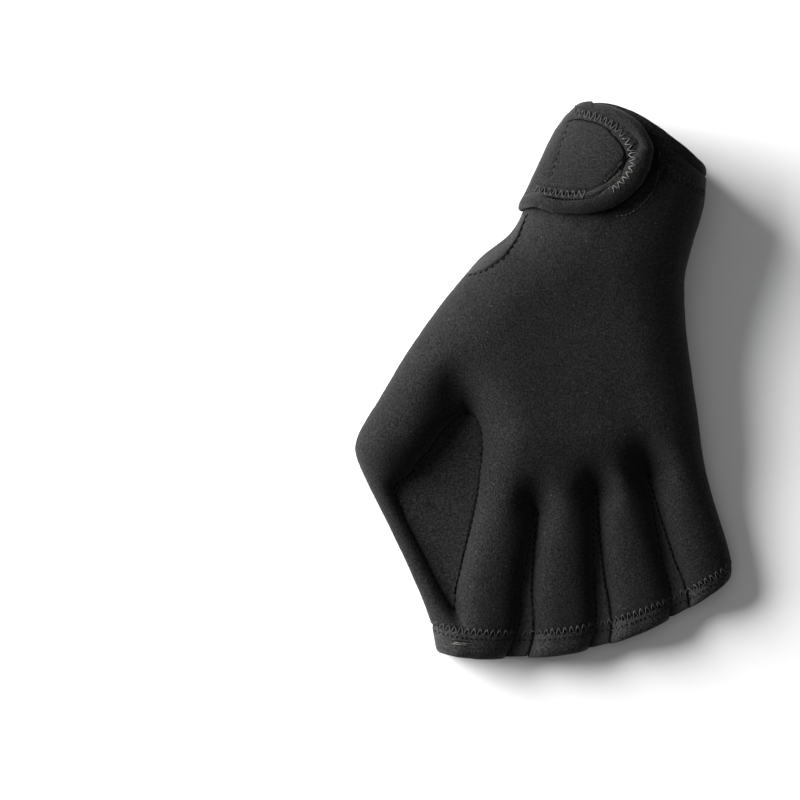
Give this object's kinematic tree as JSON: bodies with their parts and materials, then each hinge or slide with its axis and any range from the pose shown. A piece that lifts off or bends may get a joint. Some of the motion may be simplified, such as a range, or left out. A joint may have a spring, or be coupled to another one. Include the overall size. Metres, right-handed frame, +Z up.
{
  "type": "webbed swim glove",
  "caption": "Fingerless neoprene swim glove for the left hand, with webs between the fingers and thumb and a closing wrist strap.",
  "frame": {"origin": "middle of the glove's footprint, on the surface that its palm lies on", "axes": "+X from the thumb to the little finger, +Y from the finger mouths to the wrist, +Z up out of the back of the hand"},
  "size_m": [0.1504, 0.2194, 0.0477],
  "materials": {
    "neoprene": "jersey-faced neoprene, matt",
    "web_neoprene": "jersey-faced neoprene, flat panels",
    "strap_neoprene": "jersey-faced neoprene, stitched strap",
    "hook": "moulded hook tape",
    "loop_pile": "brushed loop pile"
  },
  "bodies": {
    "root": {"back_panel": "neoprene", "palm_panel": "neoprene", "thumb_web": "web_neoprene", "finger_web_1": "web_neoprene", "finger_web_2": "web_neoprene", "finger_web_3": "web_neoprene", "index_hem": "neoprene", "middle_hem": "neoprene", "ring_hem": "neoprene", "little_hem": "neoprene", "cuff_hem": "neoprene", "wrist_strap": "strap_neoprene", "strap_binding": "strap_neoprene", "hook_pad": "hook", "loop_pad": "loop_pile"}
  },
  "joints": []
}
